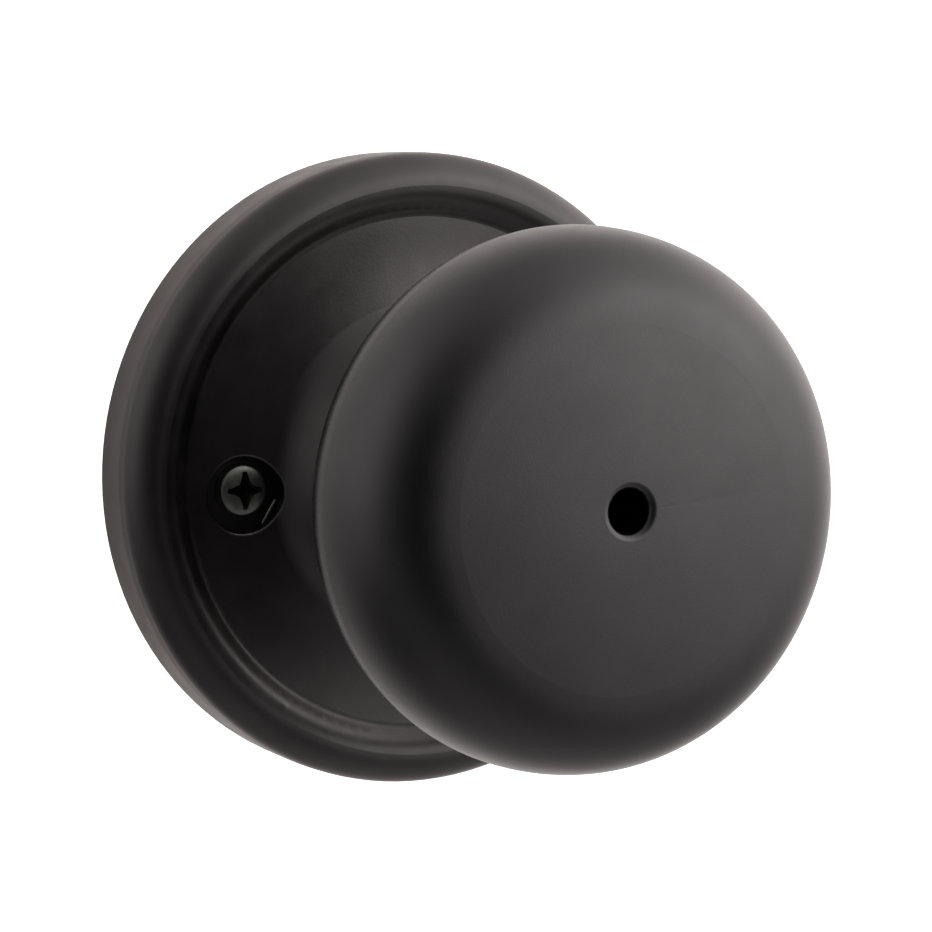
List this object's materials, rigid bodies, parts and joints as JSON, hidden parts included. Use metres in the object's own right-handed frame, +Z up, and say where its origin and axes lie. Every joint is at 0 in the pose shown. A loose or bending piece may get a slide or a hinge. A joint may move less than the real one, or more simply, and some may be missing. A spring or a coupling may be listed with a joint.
{
  "type": "door knob",
  "caption": "Round privacy door knob half: mushroom knob with a release hole, raised-rim rose with exposed screws, sprung shank and bored D spindle.",
  "frame": {"origin": "on the knob axis, in the plane of the door face that the rose sits on", "axes": "+Z up, knob axis along Y: the knob stands out towards -Y, the spindle goes into the door towards +Y"},
  "size_m": [0.0668, 0.0998, 0.0668],
  "materials": {
    "bronze_finish": "satin dark bronze, fine grain",
    "zinc_plate": "zinc plated sheet",
    "bearing_plastic": "matt black acetal",
    "rivet_steel": "plated",
    "spring_steel": "oiled dark",
    "screw_steel": "worn dark plating",
    "turned_brass": "turned",
    "cast_zinc": "as cast",
    "pin_steel": "ground",
    "turned_steel": "turned, zinc plated",
    "cam_steel": "pressed",
    "washer_brass": "stamped"
  },
  "bodies": {
    "rose_body": {"rose": "bronze_finish", "back_plate": "zinc_plate", "hub_bushing": "bearing_plastic", "spring_cage": "zinc_plate", "cage_rivets": "rivet_steel", "return_spring": "spring_steel", "mounting_screws": "screw_steel"},
    "knob_body": {"knob_shell": "bronze_finish", "knob_back": "bronze_finish", "face_backing": "zinc_plate", "release_guide": "turned_brass", "hub_insert": "cast_zinc", "neck_pin": "pin_steel", "shank": "turned_steel", "drive_cam": "cam_steel", "cage_washer": "washer_brass", "cone_washer": "spring_steel", "retaining_ring": "spring_steel", "drive_plug": "cast_zinc", "plug_pin": "pin_steel", "spindle": "turned_steel", "release_spring": "spring_steel"},
    "release_body": {"release_head": "turned_brass", "release_rod": "pin_steel", "release_clip": "spring_steel"}
  },
  "joints": [
    {"name": "knob_turn", "type": "hinge", "parent": "rose_body", "child": "knob_body", "pos_m": [0, 0, 0], "axis": [0, -1, 0], "range_deg": [-60, 60], "stiffness_Nm_per_rad": 0.25, "deforming": ["return_spring"]},
    {"name": "release_push", "type": "slide", "parent": "knob_body", "child": "release_body", "axis": [0, 1, 0], "range_m": [0, 0.005], "stiffness_N_per_m": 300, "deforming": ["release_spring"]}
  ]
}
